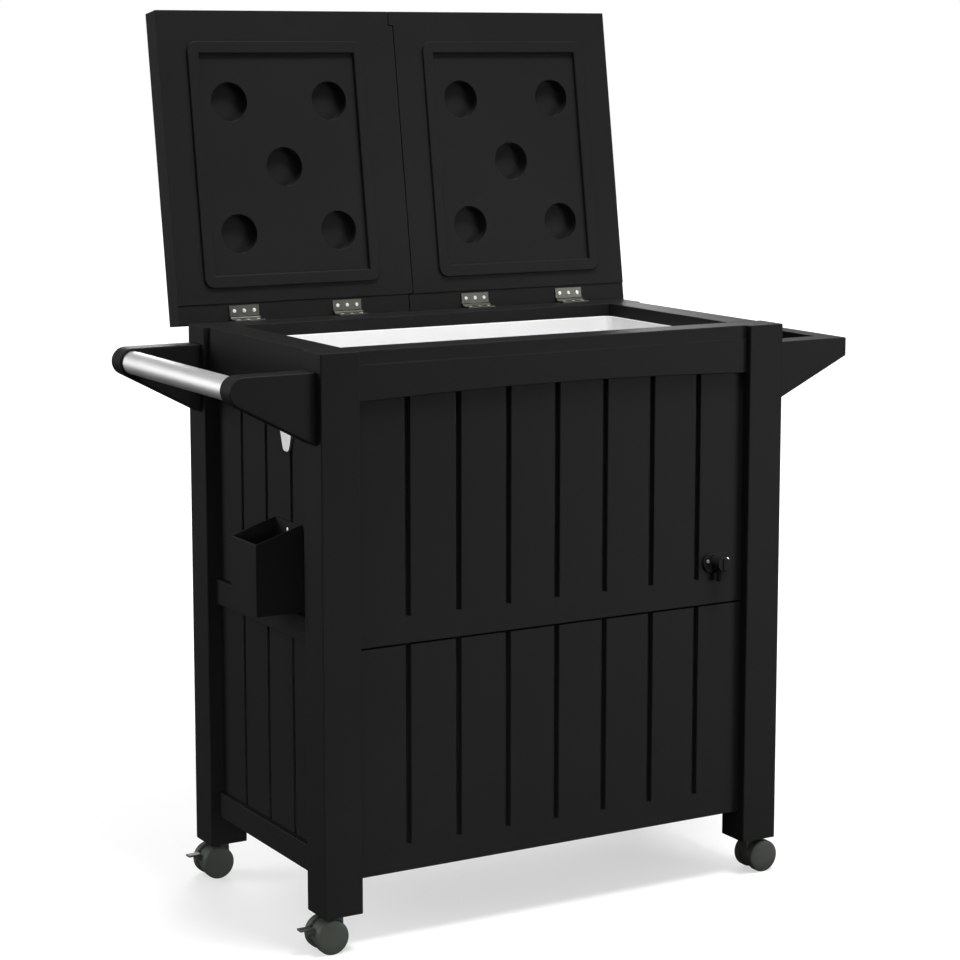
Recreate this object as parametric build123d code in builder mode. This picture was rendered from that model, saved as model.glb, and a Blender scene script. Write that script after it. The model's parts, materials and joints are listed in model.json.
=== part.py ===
"""Drinks-cooler serving cart: slatted cabinet on castors, cooler tub, two hinged lids, handle and side shelf.

Millimetres, +Z up, +X towards the side shelf, -Y towards the front. Pieces are drawn about the middle of
the cabinet on the floor, and keep() sets them in the part's own frame as it writes them.
"""
from math import cos, radians, sin
import os

from build123d import *

# Cabinet: outer size over the corner posts
cart_width = 750.0
cart_depth = 431.0
post_foot_z = 53.0
post_height = 772.0
post_width = 58.0
post_depth = 55.0
post_wall = 4.0
post_edge = 2.0

# Rails round the tub, open channels with their tops level with the posts
rail_height = 69.0
rail_wall = 4.0
rail_inset = 8.0
arch_rise = 6.7
rail_edge = 2.0
rim_band = 20.0
rim_step = 1.2

# Slatted panels
panel_thickness = 10.0
front_setback = 3.0
side_setback = 9.0
panel_lift = 45.0
seam_drop = 43.0
panel_seam = 3.0
panel_tuck = 38.0
front_slats = 8
side_slats = 4
groove_width = 8.0
groove_depth = 8.0
band_height = 37.0
band_proud = 8.0
band_gap = 1.0

# Decks and tub
deck_thickness = 6.0
tub_drop = 19.0
tub_depth = 347.0
tub_wall = 3.0
tub_corner = 15.0
tub_clearance = 0.5

# Lids, drawn on a plane that leans back about the hinge axis
lid_lean = 8.85
lid_rise = 454.5
lid_tail = 5.5
lid_depth = 38.0
lid_overhang = 10.6
lid_wall = 3.0
lid_panel_thickness = 4.0
lid_edge = 3.0
lid_rim_gap = 4.5
lid_seam = 1.2
seam_step = 3.7
front_band = 21.5
strip_rise = 23.0
strip_drop = 1.5
frame_width = 290.0
frame_border = 18.0
frame_height = 4.0
frame_corner = 15.0
frame_edge = 1.5
frame_front_margin = 46.0
frame_back_margin = 23.0
tray_drop = 2.0
recess_radius = 29.0
recess_depth = 16.0
recess_wall = 3.0
recess_spread_x = 82.0
recess_spread_y = 97.5
recess_drop = 5.0

# Hinges
axis_behind = 5.8
axis_lift = 2.5
hinge_margin = 36.0
hinge_spacing = 170.0
leaf_width = 48.0
leaf_length = 19.5
leaf_thickness = 2.0
knuckle_radius = 3.0
knuckle_gap = 0.2
knuckle_room = 0.6
hinge_pin_radius = 1.5

# Small screws
screw_radius = 1.6
screw_head_radius = 2.8
screw_head_height = 0.8
screw_clearance = 0.05
hinge_screw_pitch = 16.0
fitting_screw_depth = 6.0

# Handle
handle_reach = 125.0
arm_inset = 12.0
arm_thickness = 32.5
arm_drop = 25.5
arm_root_height = 99.0
arm_nose_radius = 20.5
tube_radius = 16.5
tube_wall = 1.8
tube_seat = 14.0
tube_clearance = 0.1

# Side shelf
shelf_reach = 125.0
shelf_inset = 12.0
shelf_drop = 28.0
shelf_root_height = 86.0
shelf_end_height = 27.0
shelf_rim = 38.0
shelf_end_rim = 28.0
shelf_recess = 22.0
shelf_floor = 3.0
shelf_back_wall = 4.0

# Bottle opener and cap catcher on the left side
accessory_y = -72.0
opener_width = 42.0
opener_height = 74.0
opener_tip_drop = 150.0
opener_thickness = 4.0
opener_tip_radius = 9.0
opener_reach = 18.0
opener_mouth = 30.0
opener_hood = 4.0
opener_screw_rise = 24.0
catcher_width = 82.0
catcher_reach = 70.0
catcher_height = 100.0
catcher_back_rise = 21.0
catcher_wall = 2.5
catcher_lift = 1.5
catcher_screw_drop = 12.0
opener_screw_spread = 18.0

# Drain tap
tap_margin = 45.0
tap_floor_gap = 5.0
tap_flange_length = 48.0
tap_flange_height = 28.0
tap_screw_spread = 34.0
tap_screw_rise = 3.0
tap_flange_thickness = 4.0
tap_barrel_radius = 11.0
tap_barrel_length = 11.0
tap_shank_radius = 9.0
tap_bore_radius = 5.0
tap_hole_clearance = 0.3
spout_radius = 4.5
spout_bore_radius = 3.0
spout_setback = 6.0
spout_collar_radius = 5.8
spout_collar_drop = 15.0
spout_length = 12.0
spindle_radius = 4.0
spindle_length = 4.5
knob_radius = 10.5
knob_thickness = 6.5
knob_grip_width = 5.0
knob_grip_length = 18.0
knob_grip_height = 2.0
knob_clearance = 0.3
gasket_thickness = 2.0
nut_thickness = 6.0
ring_width = 4.0
shank_end = 2.0

# Castors
wheel_radius = 24.0
wheel_width = 13.0
wheel_edge = 3.5
wheel_gap = 20.0
trail = 14.0
hood_radius = 20.5
hood_thickness = 17.0
boss_radius = 10.0
boss_rise = 0.8
stem_radius = 4.0
stem_hold = 16.0
stem_length = 44.0
axle_radius = 3.0
axle_seat = 9.5
axle_end_gap = 0.2
socket_depth = 32.0
socket_collar_radius = 11.0
seat_gap = 0.3
running_clearance = 0.05
fixed_clearance = 0.02
pedal_pivot_out = 26.0
pedal_pivot_up = 6.0
pedal_ear_radius = 4.0
pedal_ear_thickness = 5.0
pedal_pin_radius = 1.5
pedal_width = 12.0
pedal_thickness = 3.0
pedal_length = 20.0
pedal_side_gap = 0.4

# Places that follow from the sizes
half_width = cart_width / 2
half_depth = cart_depth / 2
rim_z = post_foot_z + post_height
rail_foot_z = rim_z - rail_height
inner_x = half_width - post_width
inner_y = half_depth - post_depth
hinge_outer_x = inner_x - hinge_margin
hinge_inner_x = hinge_outer_x - hinge_spacing
tap_x = inner_x - tap_margin
front_inset = rail_inset + rail_wall + front_setback
side_inset = rail_inset + rail_wall + side_setback
panel_foot_z = post_foot_z + panel_lift
panel_top_z = rail_foot_z + panel_tuck
tub_foot_z = rim_z - tub_drop - tub_depth
seam_z = tub_foot_z - seam_drop
axis_y = half_depth + axis_behind
axis_z = rim_z + axis_lift
front_face_y = -(half_depth - front_inset)
left_face_x = -(half_width - side_inset)
tub_front_y = -(inner_y - tub_clearance - tub_wall)
nut_radius = tap_shank_radius + ring_width
tap_z = tub_foot_z + tub_wall + nut_radius + tap_floor_gap
knob_front_y = front_face_y - tap_flange_thickness - tap_barrel_length - knob_thickness - knob_grip_height
lid_face = axis_lift - lid_rim_gap
lid_back = lid_face - lid_depth
frame_length = lid_rise - frame_front_margin - strip_rise - frame_back_margin
lid_side = half_width + lid_overhang
axle_z = wheel_radius

# The frame's origin: on the floor, under the middle of the whole cart with its lids open
lid_reach_y = axis_y + (lid_rise - lid_edge) * sin(radians(lid_lean))
lid_reach_y += (-lid_back - lid_edge) * cos(radians(lid_lean)) + lid_edge
frame_shift = Pos((handle_reach - shelf_reach) / 2, -(lid_reach_y + knob_front_y) / 2, 0)

front_plane = Plane(origin=(0, front_face_y, 0), x_dir=(1, 0, 0), z_dir=(0, -1, 0))
back_plane = Plane(origin=(0, -front_face_y, 0), x_dir=(-1, 0, 0), z_dir=(0, 1, 0))
left_plane = Plane(origin=(left_face_x, 0, 0), x_dir=(0, -1, 0), z_dir=(-1, 0, 0))
right_plane = Plane(origin=(-left_face_x, 0, 0), x_dir=(0, 1, 0), z_dir=(1, 0, 0))
lid_up = (0, sin(radians(lid_lean)), cos(radians(lid_lean)))
lid_plane = Plane(origin=(0, axis_y, axis_z), x_dir=(1, 0, 0), z_dir=(0, -lid_up[2], lid_up[1]))


def keep(solid, name):
    """Label a finished piece, set it in the part's frame and write it."""
    placed = frame_shift * solid
    placed.label = name
    export_step(placed, f"parts/{name}.step")


def block(x_span, y_span, z_span, mode=Mode.ADD):
    """Add or cut a box given by its limits along X, Y and Z."""
    middle = tuple((low + high) / 2 for low, high in (x_span, y_span, z_span))
    with Locations(middle):
        Box(x_span[1] - x_span[0], y_span[1] - y_span[0], z_span[1] - z_span[0], mode=mode)


def corner_post(name, side, face):
    """Hollow corner post, open at its foot."""
    middle = (side * (half_width - post_width / 2), face * (half_depth - post_depth / 2))
    with BuildPart() as post:
        with BuildSketch(Plane.XY.offset(post_foot_z)):
            with Locations(middle):
                RectangleRounded(post_width, post_depth, post_edge)
        extrude(amount=post_height)
        with BuildSketch(Plane.XY.offset(post_foot_z)):
            with Locations(middle):
                Rectangle(post_width - 2 * post_wall, post_depth - 2 * post_wall)
        extrude(amount=post_height - post_wall, mode=Mode.SUBTRACT)
    keep(post.part, name)


def castor_sockets(name, places):
    """Plugs that close the posts' feet and carry the castor stems."""
    with BuildPart() as sockets:
        for place in places:
            with BuildSketch(Plane.XY.offset(post_foot_z)):
                with Locations(place):
                    Rectangle(post_width - 2 * post_wall, post_depth - 2 * post_wall)
            extrude(amount=socket_depth)
            with BuildSketch(Plane.XY.offset(post_foot_z)):
                with Locations(place):
                    Circle(socket_collar_radius)
            extrude(amount=-(post_foot_z - boss_top_z - seat_gap))
            with BuildSketch(Plane.XY.offset(boss_top_z)):
                with Locations(place):
                    Circle(stem_radius + running_clearance)
            extrude(amount=stem_length, mode=Mode.SUBTRACT)
    keep(sockets.part, name)


def cross_rail(name, face, inset, rise):
    """Open channel between two posts along X, with a lower edge that may arch."""
    outer_y = face * (half_depth - inset)
    wall_y = outer_y - face * rail_wall
    inside_y = face * (inner_y + rail_wall)
    with BuildPart() as rail:
        with BuildSketch(Plane.XZ.offset(-max(outer_y, face * inner_y))):
            with BuildLine():
                Polyline((-inner_x, rail_foot_z), (-inner_x, rim_z), (inner_x, rim_z), (inner_x, rail_foot_z))
                if rise > 0:
                    ThreePointArc((inner_x, rail_foot_z), (0, rail_foot_z + rise), (-inner_x, rail_foot_z))
                else:
                    Line((inner_x, rail_foot_z), (-inner_x, rail_foot_z))
            make_face()
        extrude(amount=half_depth - inset - inner_y)
        channel = sorted((wall_y, inside_y))
        block((-inner_x, inner_x), channel, (rail_foot_z, rim_z - rail_wall), Mode.SUBTRACT)
        if face < 0:
            ledge = (outer_y, outer_y + rim_step)
            block((-inner_x, inner_x), ledge, (rim_z - rim_band, rim_z), Mode.SUBTRACT)
        top_edges = rail.edges().filter_by(Axis.X).group_by(Axis.Z)[-1]
        fillet(top_edges.sort_by(Axis.Y)[0 if face < 0 else -1], rail_edge)
        if face > 0:
            with BuildSketch(Plane.XY.offset(rim_z)):
                with Locations(*screw_places(hinge_places, axis_y - half_leaf)):
                    Circle(screw_radius + screw_clearance)
            extrude(amount=-rail_wall, mode=Mode.SUBTRACT)
    keep(rail.part, name)


def side_rail(name, side):
    """Open channel between a front and a back post."""
    outer_x = side * (half_width - rail_inset)
    wall_x = outer_x - side * rail_wall
    inside_x = side * (inner_x + rail_wall)
    channel = sorted((wall_x, inside_x))
    with BuildPart() as rail:
        block(sorted((outer_x, side * inner_x)), (-inner_y, inner_y), (rail_foot_z, rim_z))
        block(channel, (-inner_y, inner_y), (rail_foot_z, rim_z - rail_wall), Mode.SUBTRACT)
    keep(rail.part, name)


def screw_places(leaf_places, across):
    """Return the places of the screws in a row of hinge leaves."""
    return [(x + step * hinge_screw_pitch, across) for x in leaf_places for step in (-1, 0, 1)]


def slatted_panel(name, face, width, slats, foot_z, top_z, proud, holes=()):
    """Board with grooves between its slats and a plain band at its foot, proud of the slats or level."""
    with BuildPart() as panel:
        with BuildSketch(face):
            with Locations((0, (foot_z + top_z) / 2)):
                Rectangle(width, top_z - foot_z)
        extrude(amount=-panel_thickness)
        groove_foot_z = foot_z + band_height
        groove_x = [width * (count / slats - 0.5) for count in range(1, slats)]
        with BuildSketch(face):
            with Locations(*[(x, (groove_foot_z + top_z) / 2) for x in groove_x]):
                Rectangle(groove_width, top_z - groove_foot_z)
            if proud > 0:
                with Locations((0, groove_foot_z + band_gap / 2)):
                    Rectangle(width, band_gap)
        extrude(amount=-groove_depth, mode=Mode.SUBTRACT)
        if proud > 0:
            with BuildSketch(face):
                with Locations((0, foot_z + band_height / 2)):
                    Rectangle(width, band_height)
            extrude(amount=proud)
        for place, radius in holes:
            with BuildSketch(face):
                with Locations(place):
                    Circle(radius)
            extrude(amount=-panel_thickness, mode=Mode.SUBTRACT)
    keep(panel.part, name)


def deck(name, foot_z):
    """Board between the panels, notched round the posts."""
    reach_x = -left_face_x - panel_thickness
    reach_y = -front_face_y - panel_thickness
    with BuildPart() as board:
        block((-reach_x, reach_x), (-inner_y, inner_y), (foot_z, foot_z + deck_thickness))
        block((-inner_x, inner_x), (-reach_y, reach_y), (foot_z, foot_z + deck_thickness))
    keep(board.part, name)


def cooler_tub(name):
    """Open tub that stands on the mid deck between the rails."""
    width = 2 * (inner_x - tub_clearance)
    depth = 2 * (inner_y - tub_clearance)
    with BuildPart() as tub:
        with BuildSketch(Plane.XY.offset(tub_foot_z)):
            RectangleRounded(width, depth, tub_corner)
        extrude(amount=tub_depth)
        with BuildSketch(Plane.XY.offset(tub_foot_z + tub_wall)):
            RectangleRounded(width - 2 * tub_wall, depth - 2 * tub_wall, tub_corner - tub_wall)
        extrude(amount=tub_depth, mode=Mode.SUBTRACT)
        with BuildSketch(front_plane):
            with Locations((tap_x, tap_z)):
                Circle(tap_shank_radius + tap_hole_clearance)
        extrude(amount=tub_front_y - front_face_y, dir=(0, 1, 0), mode=Mode.SUBTRACT)
    keep(tub.part, name)


def lid_panel_outline(side):
    """Return an inner panel's corners on the lid plane, with the step in the seam between the two lids."""
    seam_main = seam_step + side * lid_seam / 2
    seam_ends = -seam_step + side * lid_seam / 2
    outer = side * lid_side
    step_low = strip_rise - side * lid_seam / 2
    step_high = lid_rise - front_band + side * lid_seam / 2
    return [
        (outer, -lid_tail), (seam_ends, -lid_tail), (seam_ends, step_low), (seam_main, step_low),
        (seam_main, step_high), (seam_ends, step_high), (seam_ends, lid_rise), (outer, lid_rise),
    ]


def lid_shell(name, side):
    """Outer cover of a lid, hollow towards the inner panel and clear of the other lid's panel."""
    seam_edge = seam_step + lid_seam / 2
    width = lid_side - seam_edge
    length = lid_rise + lid_tail
    middle = (side * (lid_side + seam_edge) / 2, (lid_rise - lid_tail) / 2)
    with BuildPart() as shell:
        with BuildSketch(lid_plane.offset(lid_back)):
            with Locations(middle):
                Rectangle(width, length)
        extrude(amount=lid_depth - lid_panel_thickness)
        outer_edges = shell.faces().sort_by(lid_axis)[0].edges()
        side_edge = outer_edges.sort_by(Axis.X)[0 if side < 0 else -1]
        front_edge = outer_edges.filter_by(Axis.X).sort_by(Axis.Z)[-1]
        fillet([side_edge, front_edge], lid_edge)
        with BuildSketch(lid_plane.offset(lid_back + lid_wall)):
            with Locations(middle):
                Rectangle(width - 2 * lid_wall, length - 2 * lid_wall)
        extrude(amount=lid_depth - lid_panel_thickness - lid_wall, mode=Mode.SUBTRACT)
    keep(shell.part, name)


def lid_panel(name, side):
    """Inner panel of a lid: hinge strip, raised frame and five round recesses."""
    frame_x = side * (hinge_outer_x + hinge_inner_x) / 2
    frame_y = lid_rise - frame_front_margin - frame_length / 2
    recess_y = frame_y - recess_drop
    recess_places = [(frame_x, recess_y)]
    recess_places += [
        (frame_x + across * recess_spread_x, recess_y + along * recess_spread_y)
        for across in (-1, 1) for along in (-1, 1)
    ]
    panel_back = lid_face - lid_panel_thickness
    tray_floor = lid_face - tray_drop
    with BuildPart() as panel:
        with BuildSketch(lid_plane.offset(panel_back)):
            Polygon(*lid_panel_outline(side), align=None)
        extrude(amount=lid_panel_thickness)
        with BuildSketch(lid_plane.offset(lid_face)):
            with Locations((frame_x, frame_y)):
                RectangleRounded(frame_width, frame_length, frame_corner)
        extrude(amount=frame_height)
        fillet(panel.faces().sort_by(lid_axis)[-1].edges(), frame_edge)
        with BuildSketch(lid_plane.offset(tray_floor - recess_depth - recess_wall)):
            with Locations(*recess_places):
                Circle(recess_radius + recess_wall)
        extrude(amount=recess_depth + recess_wall)
        with BuildSketch(lid_plane.offset(tray_floor)):
            with Locations((frame_x, frame_y)):
                Rectangle(frame_width - 2 * frame_border, frame_length - 2 * frame_border)
        extrude(amount=frame_height + 2 * tray_drop, mode=Mode.SUBTRACT)
        with BuildSketch(lid_plane.offset(tray_floor - recess_depth)):
            with Locations(*recess_places):
                Circle(recess_radius)
        extrude(amount=recess_depth, mode=Mode.SUBTRACT)
        with BuildSketch(lid_plane.offset(lid_face - strip_drop)):
            with Locations((side * lid_side / 2, (strip_rise - lid_tail) / 2)):
                Rectangle(lid_side + 2 * seam_step, strip_rise + lid_tail)
        extrude(amount=strip_drop, mode=Mode.SUBTRACT)
        with BuildSketch(lid_plane.offset(lid_face - strip_drop)):
            with Locations(*screw_places([side * hinge_inner_x, side * hinge_outer_x], half_leaf)):
                Circle(screw_radius + screw_clearance)
        extrude(amount=-lid_panel_thickness, mode=Mode.SUBTRACT)
    keep(panel.part, name)


def lid_leaves(name, places):
    """Hinge leaves on a lid, each with the middle knuckle."""
    leaf_foot = lid_face - strip_drop
    neck = knuckle_radius + knuckle_room
    neck_width = leaf_width / 3 - knuckle_gap
    with BuildPart() as leaves:
        for x in places:
            with BuildSketch(lid_plane.offset(leaf_foot)):
                with Locations((x, half_leaf)):
                    Rectangle(leaf_width, leaf_length - neck)
                with Locations((x, neck / 2)):
                    Rectangle(neck_width, neck)
            extrude(amount=leaf_thickness)
            with BuildSketch(Plane.YZ.offset(x - neck_width / 2)):
                with Locations((axis_y, axis_z)):
                    Circle(knuckle_radius)
            extrude(amount=neck_width)
            with BuildSketch(Plane.YZ.offset(x - leaf_width / 2)):
                with Locations((axis_y, axis_z)):
                    Circle(hinge_pin_radius + running_clearance)
            extrude(amount=leaf_width, mode=Mode.SUBTRACT)
        with BuildSketch(lid_plane.offset(leaf_foot)):
            with Locations(*screw_places(places, half_leaf)):
                Circle(screw_radius + screw_clearance)
        extrude(amount=leaf_thickness, mode=Mode.SUBTRACT)
    keep(leaves.part, name)


def rail_leaves(name, places):
    """Hinge leaves on the back rail, each with the two outer knuckles."""
    third = leaf_width / 3
    neck = knuckle_radius + knuckle_room
    with BuildPart() as leaves:
        for x in places:
            with BuildSketch(Plane.XY.offset(rim_z)):
                with Locations((x, axis_y - half_leaf)):
                    Rectangle(leaf_width, leaf_length - neck)
                with Locations((x - third, axis_y - neck / 2), (x + third, axis_y - neck / 2)):
                    Rectangle(third - knuckle_gap, neck)
            extrude(amount=leaf_thickness)
            for end in (-1, 1):
                with BuildSketch(Plane.YZ.offset(x + end * third - (third - knuckle_gap) / 2)):
                    with Locations((axis_y, axis_z)):
                        Circle(knuckle_radius)
                extrude(amount=third - knuckle_gap)
            with BuildSketch(Plane.YZ.offset(x - leaf_width / 2)):
                with Locations((axis_y, axis_z)):
                    Circle(hinge_pin_radius + fixed_clearance)
            extrude(amount=leaf_width, mode=Mode.SUBTRACT)
        with BuildSketch(Plane.XY.offset(rim_z)):
            with Locations(*screw_places(places, axis_y - half_leaf)):
                Circle(screw_radius + screw_clearance)
        extrude(amount=leaf_thickness, mode=Mode.SUBTRACT)
    keep(leaves.part, name)


def hinge_pins(name, places):
    """Pins through the hinge knuckles."""
    with BuildPart() as pins:
        for x in places:
            with BuildSketch(Plane.YZ.offset(x - leaf_width / 2)):
                with Locations((axis_y, axis_z)):
                    Circle(hinge_pin_radius)
            extrude(amount=leaf_width)
    keep(pins.part, name)


def screws(name, plane, places, depth):
    """Pan-head screws that stand on a plane, with their shanks below it."""
    with BuildPart() as group:
        with BuildSketch(plane):
            with Locations(*places):
                Circle(screw_head_radius)
        extrude(amount=screw_head_height)
        with BuildSketch(plane):
            with Locations(*places):
                Circle(screw_radius)
        extrude(amount=-depth)
    keep(group.part, name)


def handle_arm(name, face):
    """Tapered arm with a rounded nose and a blind seat for the tube."""
    outer_y = face * (half_depth - arm_inset)
    inside_y = outer_y - face * arm_thickness
    top_z = rim_z - arm_drop
    nose = (-half_width - handle_reach + arm_nose_radius, top_z - arm_nose_radius)
    with BuildPart() as arm:
        with BuildSketch(Plane.XZ.offset(-max(outer_y, inside_y))):
            with BuildLine():
                CenterArc(nose, arm_nose_radius, 0, 360)
                Line((-half_width, top_z), (-half_width, top_z - arm_root_height))
            make_hull()
        extrude(amount=arm_thickness)
        with BuildSketch(Plane.XZ.offset(-inside_y)):
            with Locations(nose):
                Circle(tube_radius + tube_clearance)
        extrude(amount=-face * tube_seat, mode=Mode.SUBTRACT)
    keep(arm.part, name)


def handle_tube(name):
    """Round metal tube between the two arms."""
    reach = half_depth - arm_inset - arm_thickness + tube_seat
    middle = (-half_width - handle_reach + arm_nose_radius, rim_z - arm_drop - arm_nose_radius)
    with BuildPart() as tube:
        with BuildSketch(Plane.XZ.offset(-reach)):
            with Locations(middle):
                Circle(tube_radius)
                Circle(tube_radius - tube_wall, mode=Mode.SUBTRACT)
        extrude(amount=2 * reach)
    keep(tube.part, name)


def side_shelf(name):
    """Moulded shelf with tapered sides, a wide rim and a shallow tray."""
    top_z = rim_z - shelf_drop
    end_x = half_width + shelf_reach
    side_y = half_depth - shelf_inset
    tray_x = (half_width + shelf_back_wall, end_x - shelf_end_rim)
    tray_y = (-(side_y - shelf_rim), side_y - shelf_rim)
    with BuildPart() as shelf:
        with BuildSketch(Plane.XZ.offset(-side_y)):
            with BuildLine():
                Polyline(
                    (half_width, top_z - shelf_root_height), (half_width, top_z),
                    (end_x, top_z), (end_x, top_z - shelf_end_height), close=True,
                )
            make_face()
        extrude(amount=2 * side_y)
        block(tray_x, tray_y, (top_z - shelf_recess, top_z), Mode.SUBTRACT)
        under_z = (top_z - shelf_root_height, top_z - shelf_recess - shelf_floor)
        block(tray_x, tray_y, under_z, Mode.SUBTRACT)
    keep(shelf.part, name)


def bottle_opener(name):
    """Cast opener: a pointed back plate with a hood that stands out over a mouth."""
    tip_z = rim_z - opener_tip_drop
    top_z = tip_z + opener_height
    centre_x = -accessory_y
    mouth_z = tip_z + opener_height / 2
    with BuildPart() as opener:
        with BuildSketch(left_plane):
            with BuildLine():
                Polyline(
                    (centre_x - opener_tip_radius, tip_z), (centre_x - opener_width / 2, mouth_z),
                    (centre_x - opener_width / 2, top_z), (centre_x + opener_width / 2, top_z),
                    (centre_x + opener_width / 2, mouth_z), (centre_x + opener_tip_radius, tip_z), close=True,
                )
            make_face()
        extrude(amount=opener_thickness)
        corners = opener.edges().filter_by(Axis.X)
        fillet(corners.group_by(Axis.Z)[0], opener_tip_radius * 0.9)
        hood_y = (accessory_y - opener_width / 2, accessory_y + opener_width / 2)
        hood_x = (left_face_x - opener_thickness - opener_reach, left_face_x - opener_thickness)
        block(hood_x, hood_y, (mouth_z, mouth_z + opener_hood))
        mouth_y = (accessory_y - opener_mouth / 2, accessory_y + opener_mouth / 2)
        mouth_x = (hood_x[0] + opener_hood, hood_x[1])
        block(mouth_x, mouth_y, (mouth_z, mouth_z + opener_hood), Mode.SUBTRACT)
        for place in opener_screw_places:
            with BuildSketch(left_plane):
                with Locations(place):
                    Circle(screw_radius + screw_clearance)
            extrude(amount=opener_thickness, mode=Mode.SUBTRACT)
    keep(opener.part, name)


def cap_catcher(name):
    """Open box for bottle caps, with its back higher than its front."""
    top_z = catcher_foot_z + catcher_height
    front_x = left_face_x - catcher_reach
    span_y = (accessory_y - catcher_width / 2, accessory_y + catcher_width / 2)
    inside_y = (span_y[0] + catcher_wall, span_y[1] - catcher_wall)
    inside_x = (front_x + catcher_wall, left_face_x - catcher_wall)
    with BuildPart() as box:
        with BuildSketch(Plane.XZ.offset(-span_y[1])):
            with BuildLine():
                Polyline(
                    (left_face_x, catcher_foot_z), (left_face_x, catcher_back_z),
                    (left_face_x - catcher_wall, catcher_back_z),
                    (front_x, top_z), (front_x, catcher_foot_z), close=True,
                )
            make_face()
        extrude(amount=catcher_width)
        block(inside_x, inside_y, (catcher_foot_z + catcher_wall, catcher_back_z), Mode.SUBTRACT)
        for place in catcher_screw_places:
            with BuildSketch(left_plane):
                with Locations(place):
                    Circle(screw_radius + screw_clearance)
            extrude(amount=catcher_wall, mode=Mode.SUBTRACT)
    keep(box.part, name)


def fitting_screws(name):
    """Screws that hold the opener and the catcher to the left panel and the tap to the front panel."""
    with BuildPart() as group:
        for wall, places, stand in (
            (left_plane, opener_screw_places, opener_thickness),
            (left_plane, catcher_screw_places, catcher_wall),
            (front_plane, tap_screw_places, tap_flange_thickness),
        ):
            with BuildSketch(wall.offset(stand)):
                with Locations(*places):
                    Circle(screw_head_radius)
            extrude(amount=screw_head_height)
            with BuildSketch(wall.offset(stand)):
                with Locations(*places):
                    Circle(screw_radius)
            extrude(amount=-(stand + fitting_screw_depth))
    keep(group.part, name)


def tap_body(name):
    """Drain tap: shank through the panel and the tub, flange, barrel, spindle and spout."""
    barrel_y = front_face_y - tap_flange_thickness - tap_barrel_length
    shank_y = tub_front_y + gasket_thickness + nut_thickness + shank_end
    spout_y = barrel_y + spout_setback
    spout_drop = spout_collar_drop + spout_length
    with BuildPart() as tap:
        with BuildSketch(front_plane):
            with Locations((tap_x, tap_z)):
                SlotOverall(tap_flange_length, tap_flange_height)
            with Locations(*tap_screw_places):
                Circle(screw_radius + screw_clearance, mode=Mode.SUBTRACT)
        extrude(amount=tap_flange_thickness)
        with BuildSketch(front_plane):
            with Locations((tap_x, tap_z)):
                Circle(tap_barrel_radius)
        extrude(amount=tap_flange_thickness + tap_barrel_length)
        with BuildSketch(front_plane):
            with Locations((tap_x, tap_z)):
                Circle(tap_shank_radius)
        extrude(amount=-(shank_y - front_face_y))
        with BuildSketch(Plane.XZ.offset(-barrel_y)):
            with Locations((tap_x, tap_z)):
                Circle(spindle_radius)
        extrude(amount=spindle_length)
        with BuildSketch(Plane.XY.offset(tap_z)):
            with Locations((tap_x, spout_y)):
                Circle(spout_collar_radius)
        extrude(amount=-spout_collar_drop)
        with BuildSketch(Plane.XY.offset(tap_z)):
            with Locations((tap_x, spout_y)):
                Circle(spout_radius)
        extrude(amount=-spout_drop)
        with BuildSketch(Plane.XZ.offset(-shank_y)):
            with Locations((tap_x, tap_z)):
                Circle(tap_bore_radius)
        extrude(amount=shank_y - spout_y, mode=Mode.SUBTRACT)
        with BuildSketch(Plane.XY.offset(tap_z)):
            with Locations((tap_x, spout_y)):
                Circle(spout_bore_radius)
        extrude(amount=-spout_drop, mode=Mode.SUBTRACT)
    keep(tap.part, name)


def tap_knob(name):
    """Turning knob with an upright grip, on the tap's spindle."""
    seat_y = front_face_y - tap_flange_thickness - tap_barrel_length - knob_clearance
    face_y = knob_front_y + knob_grip_height
    with BuildPart() as knob:
        with BuildSketch(Plane.XZ.offset(-seat_y)):
            with Locations((tap_x, tap_z)):
                Circle(knob_radius)
        extrude(amount=seat_y - face_y)
        with BuildSketch(Plane.XZ.offset(-face_y)):
            with Locations(Location((tap_x, tap_z), 90)):
                SlotOverall(knob_grip_length, knob_grip_width)
        extrude(amount=knob_grip_height)
        fillet(knob.faces().sort_by(Axis.Y)[0].edges(), knob_grip_width / 5)
        with BuildSketch(Plane.XZ.offset(-seat_y)):
            with Locations((tap_x, tap_z)):
                Circle(spindle_radius + running_clearance)
        extrude(amount=spindle_length, mode=Mode.SUBTRACT)
    keep(knob.part, name)


def shank_ring(name, near_y, thickness, sides):
    """Gasket or nut on the tap's shank inside the tub."""
    with BuildPart() as ring:
        with BuildSketch(Plane.XZ.offset(-near_y)):
            with Locations((tap_x, tap_z)):
                if sides:
                    RegularPolygon(nut_radius, sides)
                else:
                    Circle(nut_radius)
                Circle(tap_shank_radius + fixed_clearance, mode=Mode.SUBTRACT)
        extrude(amount=-thickness)
    keep(ring.part, name)


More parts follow.
